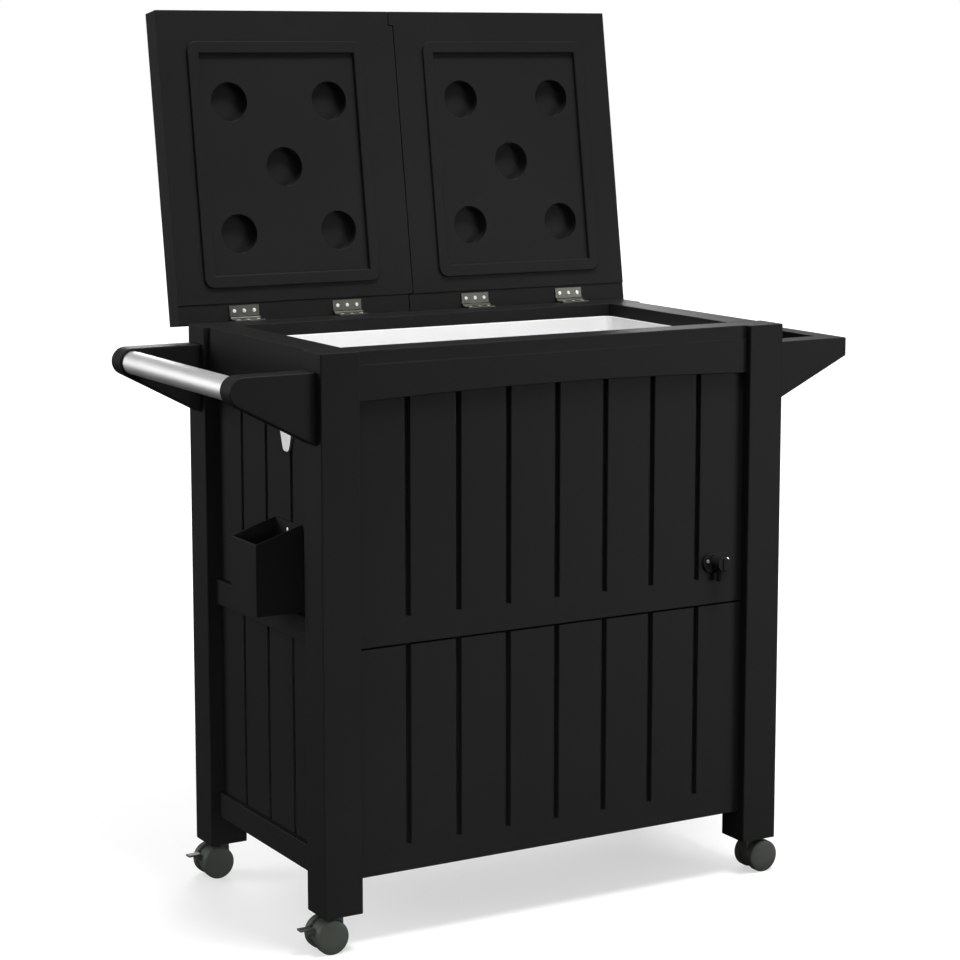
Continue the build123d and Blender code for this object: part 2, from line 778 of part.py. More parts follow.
def castor(name, place, toward, braked):
    """Twin-wheel swivel castor: hood, stem, axle, wheels and, on some, a brake pedal."""
    x, y = place
    axle_x = x + toward * trail
    pivot = (axle_x + toward * pedal_pivot_out, axle_z + pedal_pivot_up)
    middle = Plane.XZ.offset(-y - hood_thickness / 2)
    with BuildPart() as hood:
        with BuildSketch(middle):
            with Locations((axle_x, axle_z)):
                Circle(hood_radius)
            with Locations((x, (axle_z + boss_top_z) / 2)):
                Rectangle(2 * stem_radius + hood_thickness / 2, boss_top_z - axle_z)
        extrude(amount=hood_thickness)
        with BuildSketch(Plane.XY.offset(boss_foot_z)):
            with Locations(place):
                Circle(boss_radius)
        extrude(amount=boss_top_z - boss_foot_z)
        if braked:
            with BuildSketch(Plane.XZ.offset(-y - pedal_ear_thickness / 2)):
                with Locations(pivot):
                    Circle(pedal_ear_radius)
                with BuildLine():
                    Polyline(
                        (axle_x, axle_z + hood_radius / 2), (axle_x, axle_z + hood_radius), pivot,
                        (axle_x + toward * hood_radius, axle_z), close=True,
                    )
                make_face()
            extrude(amount=pedal_ear_thickness)
            with BuildSketch(middle):
                with Locations(pivot):
                    Circle(pedal_pin_radius + running_clearance)
            extrude(amount=hood_thickness, mode=Mode.SUBTRACT)
        with BuildSketch(Plane.XY.offset(boss_top_z)):
            with Locations(place):
                Circle(stem_radius + fixed_clearance)
        extrude(amount=-stem_hold, mode=Mode.SUBTRACT)
        with BuildSketch(middle):
            with Locations((axle_x, axle_z)):
                Circle(axle_radius + fixed_clearance)
        extrude(amount=hood_thickness, mode=Mode.SUBTRACT)
    keep(hood.part, f"{name}_hood")

    with BuildPart() as stem:
        with BuildSketch(Plane.XY.offset(boss_top_z - stem_hold)):
            with Locations(place):
                Circle(stem_radius)
        extrude(amount=stem_length)
    keep(stem.part, f"{name}_stem")

    axle_half = wheel_gap / 2 + axle_seat - axle_end_gap
    with BuildPart() as axle:
        with BuildSketch(Plane.XZ.offset(-y - axle_half)):
            with Locations((axle_x, axle_z)):
                Circle(axle_radius)
        extrude(amount=2 * axle_half)
    keep(axle.part, f"{name}_axle")

    with BuildPart() as wheels:
        for face in (-1, 1):
            hub = (axle_x, y + face * wheel_gap / 2, axle_z)
            inner_face = Plane(origin=hub, x_dir=(1, 0, 0), z_dir=(0, face, 0))
            with BuildSketch(inner_face):
                Circle(wheel_radius)
            extrude(amount=wheel_width)
            fillet(wheels.faces().sort_by(Axis.Y)[0 if face < 0 else -1].edges(), wheel_edge)
            with BuildSketch(inner_face):
                Circle(axle_radius + running_clearance)
            extrude(amount=axle_seat, mode=Mode.SUBTRACT)
    keep(wheels.part, f"{name}_wheels")

    if braked:
        pedal_top = pivot[1] + pedal_ear_radius + pedal_side_gap + pedal_thickness
        cheek_y = pedal_ear_thickness / 2 + pedal_side_gap
        tip_x = pivot[0] + toward * (pedal_length - pedal_ear_radius)
        heel_x = pivot[0] - toward * pedal_ear_radius
        nose_x = pivot[0] + toward * pedal_ear_radius
        plate_y = (y - pedal_width / 2, y + pedal_width / 2)
        with BuildPart() as pedal:
            block(sorted((heel_x, tip_x)), plate_y, (pedal_top - pedal_thickness, pedal_top))
            for face in (-1, 1):
                cheek = sorted((y + face * cheek_y, y + face * pedal_width / 2))
                block(sorted((heel_x, nose_x)), cheek, (pivot[1] - pedal_ear_radius / 2, pedal_top))
            with BuildSketch(Plane.XZ.offset(-y - pedal_width / 2)):
                with Locations(pivot):
                    Circle(pedal_pin_radius)
            extrude(amount=pedal_width)
        keep(pedal.part, f"{name}_brake_pedal")


lid_axis = Axis((0, axis_y, axis_z), (0, -lid_up[2], lid_up[1]))
half_leaf = (knuckle_radius + knuckle_room + leaf_length) / 2
hinge_places = (-hinge_outer_x, -hinge_inner_x, hinge_inner_x, hinge_outer_x)
boss_foot_z = 2 * wheel_radius + boss_rise
boss_top_z = (boss_foot_z + post_foot_z) / 2 + boss_rise
catcher_foot_z = seam_z + panel_seam + band_height + catcher_lift
catcher_back_z = catcher_foot_z + catcher_height + catcher_back_rise
opener_screw_z = rim_z - opener_tip_drop + opener_height / 2 + opener_screw_rise
opener_screw_places = [(-accessory_y + end * opener_screw_spread / 2, opener_screw_z) for end in (-1, 1)]
catcher_screw_z = catcher_back_z - catcher_screw_drop
catcher_screw_places = [(-accessory_y, catcher_screw_z)]
tap_screw_places = [(tap_x + end * tap_screw_spread / 2, tap_z + tap_screw_rise) for end in (-1, 1)]
corners = {
    f"{face_name}_{side_name}": (side, face)
    for face_name, face in (("front", -1), ("back", 1)) for side_name, side in (("left", -1), ("right", 1))
}
castor_places = {
    corner: (side * (half_width - post_width / 2), face * (half_depth - post_depth / 2))
    for corner, (side, face) in corners.items()
}

os.makedirs("parts", exist_ok=True)

for corner, (side, face) in corners.items():
    corner_post(f"post_{corner}", side, face)
    castor(f"castor_{corner}", castor_places[corner], side, side < 0)
castor_sockets("castor_sockets", castor_places.values())

cross_rail("front_header", -1, rail_inset, arch_rise)
cross_rail("back_rail", 1, 0.0, 0.0)
side_rail("left_rail", -1)
side_rail("right_rail", 1)

upper_foot_z = seam_z + panel_seam
tap_holes = [((tap_x, tap_z), tap_shank_radius + tap_hole_clearance)]
tap_holes += [(place, screw_radius + screw_clearance) for place in tap_screw_places]
side_holes = [(place, screw_radius + screw_clearance) for place in opener_screw_places + catcher_screw_places]
for wall, plane, width, slats, proud, holes in (
    ("front", front_plane, 2 * inner_x, front_slats, 0.0, tap_holes),
    ("back", back_plane, 2 * inner_x, front_slats, 0.0, []),
    ("left", left_plane, 2 * inner_y, side_slats, band_proud, side_holes),
    ("right", right_plane, 2 * inner_y, side_slats, band_proud, []),
):
    slatted_panel(f"{wall}_lower_panel", plane, width, slats, panel_foot_z, seam_z, proud)
    slatted_panel(f"{wall}_upper_panel", plane, width, slats, upper_foot_z, panel_top_z, proud, holes)

deck("mid_deck", tub_foot_z - deck_thickness)
deck("bottom_deck", panel_foot_z)
cooler_tub("cooler_tub")

for lid, side in (("left", -1), ("right", 1)):
    own_places = [x for x in hinge_places if x * side > 0]
    lid_shell(f"lid_{lid}_shell", side)
    lid_panel(f"lid_{lid}_panel", side)
    lid_leaves(f"lid_{lid}_hinge_leaves", own_places)
    leaf_face = lid_plane.offset(lid_face - strip_drop + leaf_thickness)
    lid_screw_depth = leaf_thickness + lid_panel_thickness - strip_drop
    screws(f"lid_{lid}_hinge_screws", leaf_face, screw_places(own_places, half_leaf), lid_screw_depth)
rail_leaves("rail_hinge_leaves", hinge_places)
hinge_pins("hinge_pins", hinge_places)
leaf_face = Plane.XY.offset(rim_z + leaf_thickness)
rail_screw_places = screw_places(hinge_places, axis_y - half_leaf)
screws("rail_hinge_screws", leaf_face, rail_screw_places, leaf_thickness + rail_wall)

handle_arm("handle_arm_front", -1)
handle_arm("handle_arm_back", 1)
handle_tube("handle_tube")
side_shelf("side_shelf")

bottle_opener("bottle_opener")
cap_catcher("cap_catcher")
fitting_screws("fitting_screws")

tap_body("tap_body")
tap_knob("tap_knob")
shank_ring("tap_gasket", tub_front_y, gasket_thickness, 0)
shank_ring("tap_nut", tub_front_y + gasket_thickness, nut_thickness, 6)
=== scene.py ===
"""Looks of a drinks-cooler serving cart: moulded pieces, slats, hinges, castors and studio, in metres.

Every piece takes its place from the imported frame, rides on one of its bodies and stands for the nodes
it names.
"""

import json
import logging
import math
from dataclasses import dataclass
from enum import Enum, IntEnum
from functools import cache
from typing import Any, Optional, Sequence, Union

import bmesh
import bpy
from mathutils import Euler, Matrix, Vector


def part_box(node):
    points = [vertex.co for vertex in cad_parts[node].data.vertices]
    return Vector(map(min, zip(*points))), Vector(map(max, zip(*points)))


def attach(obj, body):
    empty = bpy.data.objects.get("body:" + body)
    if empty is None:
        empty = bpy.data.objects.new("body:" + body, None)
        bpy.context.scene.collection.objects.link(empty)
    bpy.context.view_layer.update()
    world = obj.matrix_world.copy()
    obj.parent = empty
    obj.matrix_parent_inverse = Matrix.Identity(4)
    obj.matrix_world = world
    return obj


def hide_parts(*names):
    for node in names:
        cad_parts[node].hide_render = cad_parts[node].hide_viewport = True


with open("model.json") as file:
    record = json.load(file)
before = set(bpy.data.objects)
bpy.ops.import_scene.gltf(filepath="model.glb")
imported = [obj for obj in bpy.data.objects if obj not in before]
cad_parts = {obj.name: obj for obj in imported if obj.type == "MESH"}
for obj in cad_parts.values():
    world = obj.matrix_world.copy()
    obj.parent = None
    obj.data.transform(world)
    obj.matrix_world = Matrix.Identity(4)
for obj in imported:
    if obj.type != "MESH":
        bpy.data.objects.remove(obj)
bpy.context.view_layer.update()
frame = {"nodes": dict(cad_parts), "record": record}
LOG = logging.getLogger("serving_cart")

MM = 0.001
MERGE_DISTANCE = 1e-6
PLACE_DIGITS = 4
FLAT_ANGLE = math.radians(0.5)
SHARP_ANGLE = math.radians(38)
CREASE_ANGLE = math.radians(50)
CREST_BAND = 0.1 * MM
# Ramp across each eased edge, 0 at its sides and 1 in its middle; the finishes paint it lighter, partly as
# real scuffing and partly as a painted highlight.
EDGE_ATTRIBUTE = "edge"
WEAR_AND_HIGHLIGHT_SHARE = 0.7
END_SLATS = 2
CORNER_STEPS = 3
SCREW_SIDES = 24
HEAD_WALL_SHARE = 0.45
HEAD_CROWN_SHARE = 0.62
RECESS_REACH = 1.1
LID_SEEDS = {"left": 11, "right": 23}

Colour = tuple[float, float, float, float]
NODE_BODY = {
    node: body
    for body, members in frame["record"]["behaviour"]["bodies"].items()
    for node in members
}


class Slot(Enum):
    """The record's material slots."""

    BLACK = "black_plastic"
    WHITE = "white_plastic"
    STEEL = "bright_steel"
    TUBE = "brushed_tube"
    ZINC = "polished_zinc"
    TREAD = "grey_tread"
    GREY = "grey_plastic"
    SEAL = "seal_rubber"


class Wall(Enum):
    """The cabinet's four walls, each with the turn that takes the front wall to it."""

    FRONT = 0
    RIGHT = 90
    BACK = 180
    LEFT = -90

    @property
    def title(self) -> str:
        """The wall's name in the frame's nodes."""
        return self.name.lower()

    @property
    def across(self) -> int:
        """Index of the axis that the wall runs along."""
        return 0 if self in (Wall.FRONT, Wall.BACK) else 1


class MixSocket(IntEnum):
    """Sockets of a colour Mix node, by place because it has several of each name."""

    FACTOR = 0
    FIRST = 6
    SECOND = 7
    RESULT = 2


class RandomSocket(IntEnum):
    """Sockets of a Random Value node for single numbers, by place for the same reason."""

    LOW = 2
    HIGH = 3
    SEED = 8
    VALUE = 1


class Wire:
    """An output socket, with arithmetic that adds Math nodes to its tree."""

    def __init__(self, graph: "Graph", socket: bpy.types.NodeSocket) -> None:
        """Keep the tree and the socket."""
        self.graph = graph
        self.socket = socket

    def math(self, operation: str, first: "Value", second: "Value" = 0.0, clamp: bool = False) -> "Wire":
        """Add one Math node.

        Args:
            operation: Name of the operation.
            first: First operand.
            second: Second operand, unused by operations on one value.
            clamp: Whether the result stays between 0 and 1.

        Returns:
            The node's output.
        """
        settings = {"operation": operation, "use_clamp": clamp}
        return self.graph.node("ShaderNodeMath", settings, {0: first, 1: second})

    def __add__(self, other: "Value") -> "Wire":
        """Add a value on the right."""
        return self.math("ADD", self, other)

    def __radd__(self, other: "Value") -> "Wire":
        """Add a value on the left."""
        return self.math("ADD", other, self)

    def __sub__(self, other: "Value") -> "Wire":
        """Take a value away."""
        return self.math("SUBTRACT", self, other)

    def __rsub__(self, other: "Value") -> "Wire":
        """Take this wire away from a value."""
        return self.math("SUBTRACT", other, self)

    def __mul__(self, other: "Value") -> "Wire":
        """Multiply by a value on the right."""
        return self.math("MULTIPLY", self, other)

    def __rmul__(self, other: "Value") -> "Wire":
        """Multiply by a value on the left."""
        return self.math("MULTIPLY", other, self)

    def __truediv__(self, other: "Value") -> "Wire":
        """Divide by a value."""
        return self.math("DIVIDE", self, other)

    def __abs__(self) -> "Wire":
        """The size without its sign."""
        return self.math("ABSOLUTE", self)

    def clamped(self) -> "Wire":
        """The value kept between 0 and 1."""
        return self.math("ADD", self, 0.0, clamp=True)


Value = Union[Wire, float, int, str, Sequence[Any]]


class Graph:
    """A node tree that is filled by one node-making method."""

    def __init__(self, tree: bpy.types.NodeTree) -> None:
        """Keep the tree."""
        self.tree = tree

    def node(
        self,
        kind: str,
        settings: Optional[dict[str, Any]] = None,
        inputs: Optional[dict[Union[str, int], Any]] = None,
        output: Union[str, int] = 0,
    ) -> Wire:
        """Add a node.

        Args:
            kind: The node's type.
            settings: The node's own options, set before its sockets.
            inputs: Values, wires or lists of wires for its input sockets.
            output: The output socket to hand back.

        Returns:
            That output socket.
        """
        made = self.tree.nodes.new(kind)
        for name, value in (settings or {}).items():
            setattr(made, name, value)
        for key, value in (inputs or {}).items():
            for single in value if isinstance(value, list) else [value]:
                if isinstance(single, Wire):
                    self.tree.links.new(single.socket, made.inputs[key])
                else:
                    made.inputs[key].default_value = single
        return Wire(self, made.outputs[output])

    def vector(self, x: Value, y: Value, z: Value) -> Wire:
        """Join three values into a vector."""
        return self.node("ShaderNodeCombineXYZ", inputs={0: x, 1: y, 2: z})


class MaterialGraph(Graph):
    """The node tree of one material."""

    def __init__(self, name: str) -> None:
        """Start an empty material."""
        self.material = bpy.data.materials.new(name)
        self.material.use_nodes = True
        super().__init__(self.material.node_tree)
        self.tree.nodes.clear()
        self.place = self.node("ShaderNodeTexCoord", output="Object")

    def noise(self, scale: float, detail: float, stretch: tuple[float, float, float] = (1, 1, 1)) -> Wire:
        """Add noise on the piece's own coordinates.

        Args:
            scale: Features per metre.
            detail: Layers of finer noise.
            stretch: Scale along each axis, for streaks.

        Returns:
            The noise, between 0 and 1.
        """
        place = self.node("ShaderNodeMapping", inputs={"Vector": self.place, "Scale": stretch})
        return self.node("ShaderNodeTexNoise", inputs={"Vector": place, "Scale": scale, "Detail": detail})

    def worn_edge(self) -> Wire:
        """Read how far a point lies on an eased edge, which the finishes paint lighter as real scuffing and
        as a painted highlight.
        """
        return self.node("ShaderNodeAttribute", {"attribute_name": EDGE_ATTRIBUTE}, output="Fac")

    def mix(self, factor: Wire, first: Union[Wire, Colour], second: Union[Wire, Colour]) -> Wire:
        """Mix two colours by a factor."""
        colours = {MixSocket.FACTOR: factor, MixSocket.FIRST: first, MixSocket.SECOND: second}
        return self.node("ShaderNodeMix", {"data_type": "RGBA"}, colours, MixSocket.RESULT)

    def bump(self, height: Wire, strength: float, depth: float) -> Wire:
        """Turn a height into a normal."""
        relief = {"Height": height, "Strength": strength, "Distance": depth}
        return self.node("ShaderNodeBump", inputs=relief)

    def close(self, sockets: dict[str, Any]) -> bpy.types.Material:
        """Add the shader and the output.

        Args:
            sockets: Values and wires of the shader's sockets.

        Returns:
            The finished material.
        """
        shader = self.node("ShaderNodeBsdfPrincipled", inputs=sockets)
        output = self.tree.nodes.new("ShaderNodeOutputMaterial")
        self.tree.links.new(shader.socket, output.inputs["Surface"])
        return self.material


@dataclass(frozen=True)
class MouldedPlastic:
    """Moulded plastic: cloudy colour, a fine spark-eroded texture and eased edges painted lighter, partly
    as real scuffing and partly as a painted highlight.
    """

    name: str
    slot: Slot
    dark: Colour
    light: Colour
    rubbed: Colour
    roughness: float
    gloss: float
    grain_scale: float = 900.0
    grain_depth: float = 0.05 * MM
    grain_strength: float = 0.35
    cloud_scale: float = 7.0
    scuff_scale: float = 60.0
    scuff_stretch: tuple[float, float, float] = (1.0, 1.0, 0.25)
    least_wear: float = 0.35
    polish: float = 0.06
    cloud_haze: float = 0.08
    grain_haze: float = 0.05
    wear_polish: float = 0.08

    @cache
    def material(self) -> bpy.types.Material:
        """Build the material.

        Returns:
            The material, made once.
        """
        graph = MaterialGraph(self.name)
        cloud = graph.noise(self.cloud_scale, detail=3.0)
        grain = graph.noise(self.grain_scale, detail=2.0)
        scuff = graph.noise(self.scuff_scale, detail=4.0, stretch=self.scuff_stretch)
        # Painted highlight on eased edges: they turn towards the lighter edge colour, partly as real
        # scuffing and partly as painted light.
        wear_and_highlight = (graph.worn_edge() * (self.least_wear + scuff)).clamped()
        colour = graph.mix(wear_and_highlight, graph.mix(cloud, self.dark, self.light), self.rubbed)
        hazy = self.roughness - self.polish + cloud * self.cloud_haze + grain * self.grain_haze
        return graph.close({
            "Base Color": colour,
            "Roughness": hazy - wear_and_highlight * self.wear_polish,
            "Specular IOR Level": self.gloss,
            "Normal": graph.bump(grain, self.grain_strength, self.grain_depth),
        })


@dataclass(frozen=True)
class WorkedMetal:
    """Metal with streaks along one axis: brushed tube, stamped sheet or a polished casting."""

    name: str
    slot: Slot
    dark: Colour
    light: Colour
    roughness: float
    streak: tuple[float, float, float]
    streak_depth: float
    streak_scale: float = 500.0
    streak_strength: float = 0.25
    bloom_scale: float = 25.0
    streak_tint: float = 0.6
    bloom_tint: float = 0.4
    edge_tint: float = 0.3
    streak_haze: float = 0.14
    bloom_haze: float = 0.06
    edge_polish: float = 0.05

    @cache
    def material(self) -> bpy.types.Material:
        """Build the material.

        Returns:
            The material, made once.
        """
        graph = MaterialGraph(self.name)
        streaks = graph.noise(self.streak_scale, detail=3.0, stretch=self.streak)
        bloom = graph.noise(self.bloom_scale, detail=2.0)
        edge = graph.worn_edge()
        # Eased edges are tinted lighter, partly as real polishing from use and partly as a painted
        # highlight.
        tint = (streaks * self.streak_tint + bloom * self.bloom_tint + edge * self.edge_tint).clamped()
        colour = graph.mix(tint, self.dark, self.light)
        hazy = self.roughness + streaks * self.streak_haze + bloom * self.bloom_haze
        return graph.close({
            "Base Color": colour,
            "Metallic": 1.0,
            "Roughness": hazy - edge * self.edge_polish,
            "Normal": graph.bump(streaks, self.streak_strength, self.streak_depth),
        })


@dataclass(frozen=True)
class StudioFloor:
    """Pale seamless floor that grows brighter away from the cart."""

    name: str
    pale: Colour
    white: Colour
    glow_near: float
    glow_far: float
    fade_start: float
    fade_length: float
    drift_scale: float = 0.8
    drift_haze: float = 0.2
    roughness: float = 0.7
    gloss: float = 0.1

    @cache
    def material(self) -> bpy.types.Material:
        """Build the material.

        Returns:
            The material, made once.
        """
        graph = MaterialGraph(self.name)
        drift = graph.noise(self.drift_scale, detail=2.0)
        reach = graph.node("ShaderNodeVectorMath", {"operation": "LENGTH"}, {0: graph.place}, "Value")
        fade = ((reach - self.fade_start) / self.fade_length).clamped()
        near = (self.glow_near, self.glow_near, self.glow_near, 1)
        far = (self.glow_far, self.glow_far, self.glow_far, 1)
        return graph.close({
            "Base Color": graph.mix(drift, self.pale, self.white),
            "Roughness": self.roughness + drift * self.drift_haze,
            "Specular IOR Level": self.gloss,
            "Emission Color": graph.mix(fade, near, far),
            "Emission Strength": 1.0,
        })


Finish = Union[MouldedPlastic, WorkedMetal]

# Each moulding's third colour paints its eased edges lighter: partly real scuffing, partly a painted
# highlight.
BLACK_PLASTIC = MouldedPlastic(
    "satin_black_moulding", Slot.BLACK,
    (0.0116, 0.0116, 0.0115, 1), (0.0148, 0.0148, 0.0146, 1), (0.0195, 0.0195, 0.0193, 1), 0.52, 0.06,
)
WHITE_PLASTIC = MouldedPlastic(
    "smooth_white_moulding", Slot.WHITE,
    (0.950, 0.950, 0.948, 1), (0.965, 0.965, 0.963, 1), (0.97, 0.97, 0.97, 1), 0.34, 0.4,
    1400.0, 0.02 * MM,
)
GREY_PLASTIC = MouldedPlastic(
    "grey_castor_moulding", Slot.GREY,
    (0.048, 0.055, 0.046, 1), (0.064, 0.072, 0.061, 1), (0.098, 0.107, 0.093, 1), 0.46, 0.2,
)
GREY_TREAD = MouldedPlastic(
    "grey_wheel_moulding", Slot.TREAD,
    (0.048, 0.055, 0.046, 1), (0.066, 0.074, 0.063, 1), (0.102, 0.111, 0.097, 1), 0.5, 0.2,
    700.0, 0.08 * MM,
)
SEAL_RUBBER = MouldedPlastic(
    "soft_seal_rubber", Slot.SEAL,
    (0.012, 0.012, 0.012, 1), (0.020, 0.020, 0.020, 1), (0.030, 0.030, 0.030, 1), 0.7, 0.2,
)
BRIGHT_STEEL = WorkedMetal(
    "stamped_bright_steel", Slot.STEEL,
    (0.070, 0.070, 0.062, 1), (0.140, 0.140, 0.124, 1), 0.30, (0.15, 1.0, 1.0), 0.02 * MM,
)
SCREW_STEEL = WorkedMetal(
    "plated_screw_steel", Slot.STEEL,
    (0.86, 0.86, 0.84, 1), (0.95, 0.95, 0.93, 1), 0.36, (1.0, 1.0, 1.0), 0.01 * MM,
)
BRUSHED_TUBE = WorkedMetal(
    "brushed_handle_tube", Slot.TUBE,
    (0.58, 0.58, 0.58, 1), (0.72, 0.72, 0.72, 1), 0.42, (1.0, 0.05, 1.0), 0.015 * MM,
)
POLISHED_ZINC = WorkedMetal(
    "polished_zinc_casting", Slot.ZINC,
    (0.84, 0.84, 0.84, 1), (0.94, 0.94, 0.93, 1), 0.30, (0.6, 0.6, 0.6), 0.03 * MM,
)
STUDIO_FLOOR = StudioFloor(
    "pale_studio_floor", (0.46, 0.46, 0.46, 1), (0.50, 0.50, 0.50, 1), 0.55, 1.0, 1.2, 4.0,
)


def report(piece: str, body: str, faces: int) -> None:
    """Log one finished piece."""
    LOG.info("%s on %s, %d faces", piece, body, faces)


def settle_shading(piece: bpy.types.Object) -> None:
    """Shade a piece smooth across its eased edges and flat on its broad faces."""
    piece.data.shade_smooth()
    piece.data.set_sharp_from_angle(angle=CREASE_ANGLE)
    weighting = piece.modifiers.new("flat_faces", "WEIGHTED_NORMAL")
    weighting.keep_sharp = True


def stand_in(name: str, mesh: bpy.types.Mesh, finish: Finish, nodes: Sequence[str]) -> None:
    """Set a finished mesh in the scene in place of one or more nodes of the same body.

    Args:
        name: The piece's name.
        mesh: Its mesh, in place.
        finish: Its finish.
        nodes: The nodes that it stands for.
    """
    mesh.name = name
    mesh.materials.clear()
    mesh.materials.append(finish.material())
    piece = bpy.data.objects.new(name, mesh)
    bpy.context.scene.collection.objects.link(piece)
    settle_shading(piece)
    body = NODE_BODY[nodes[0]]
    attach(piece, body)
    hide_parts(*nodes)
    report(name, body, len(mesh.polygons))


def keep_node(node: str, finish: Finish) -> None:
    """Give a node that keeps its own mesh a finish.

    Args:
        node: The node's name.
        finish: Its finish.
    """
    carried = frame["nodes"][node]
    for slot in carried.material_slots:
        slot.material = finish.material()
    report(node, NODE_BODY[node], len(carried.data.polygons))


@dataclass
class Moulding:
    """A solid of the frame with its edges eased."""

    node: str
    finish: Finish
    ease: float
    segments: int = 2
    crest: Optional[Vector] = None
    crest_ease: float = 0.0

    def sharp_edges(self, shape: bmesh.types.BMesh, crest_only: bool) -> list[bmesh.types.BMEdge]:
        """Pick the sharp edges of a shape.

        Args:
            shape: The shape.
            crest_only: Whether to pick only those on the face that stands highest along the crest.

        Returns:
            The edges.
        """
        sharp = [edge for edge in shape.edges if edge.is_manifold and edge.calc_face_angle() > SHARP_ANGLE]
        if not crest_only:
            return sharp
        low = max(corner.co.dot(self.crest) for corner in shape.verts) - CREST_BAND
        return [edge for edge in sharp if all(corner.co.dot(self.crest) > low for corner in edge.verts)]

    def mesh(self) -> bpy.types.Mesh:
        """Copy the node's mesh, merge its triangles into faces and round its sharp edges.

        Returns:
            The eased mesh, with its edges marked for scuffing and a painted highlight.
        """
        shape = bmesh.new()
        shape.from_mesh(frame["nodes"][self.node].data)
        bmesh.ops.remove_doubles(shape, verts=shape.verts, dist=MERGE_DISTANCE)
        bmesh.ops.dissolve_limit(shape, angle_limit=FLAT_ANGLE, verts=shape.verts, edges=shape.edges)
        rounds = [(True, self.crest_ease)] if self.crest else []
        rounded = set()
        for crest_only, ease in rounds + [(False, self.ease)]:
            eased = bmesh.ops.bevel(
                shape, geom=self.sharp_edges(shape, crest_only), offset=ease, offset_type="OFFSET",
                segments=self.segments, profile=0.5, affect="EDGES", clamp_overlap=False,
            )
            rounded.update(eased["faces"])
        rounded = {face for face in rounded if face.is_valid}
        # Marks the rounded faces' middles for the finishes' lighter edges: real scuffing and a painted
        # highlight.
        worn_and_highlit = shape.verts.layers.float.new(EDGE_ATTRIBUTE)
        for corner in shape.verts:
            corner[worn_and_highlit] = float(bool(corner.link_faces) and rounded.issuperset(corner.link_faces))
        mesh = bpy.data.meshes.new(self.node)
        shape.to_mesh(mesh)
        shape.free()
        return mesh

    def build(self) -> None:
        """Set the eased solid in place of its node."""
        stand_in(f"{self.node}_eased", self.mesh(), self.finish, [self.node])


@dataclass
class Lathe:
    """A round piece turned from a profile of (radius, place along the axis) points."""

    profile: Sequence[tuple[float, float]]
    steps: int = 64

    def mesh(self, name: str, placing: Matrix, closed: bool) -> bpy.types.Mesh:
        """Turn the profile about the local Z axis.

        Args:
            name: The mesh's name.
            placing: Where the turned shape goes.
            closed: Whether the profile's last point joins its first.

        Returns:
            The turned mesh.
        """
        shape = bmesh.new()
        rim = [shape.verts.new((radius, 0.0, height)) for radius, height in self.profile]
        pairs = list(zip(rim, rim[1:]))
        if closed:
            pairs.append((rim[-1], rim[0]))
        edges = [shape.edges.new(pair) for pair in pairs]
        bmesh.ops.spin(
            shape, geom=rim + edges, cent=(0, 0, 0), axis=(0, 0, 1), angle=math.tau, steps=self.steps,
            use_duplicate=False,
        )
        bmesh.ops.remove_doubles(shape, verts=shape.verts, dist=MERGE_DISTANCE)
        bmesh.ops.recalc_face_normals(shape, faces=shape.faces)
        shape.transform(placing)
        mesh = bpy.data.meshes.new(name)
        shape.to_mesh(mesh)
        shape.free()
        return mesh


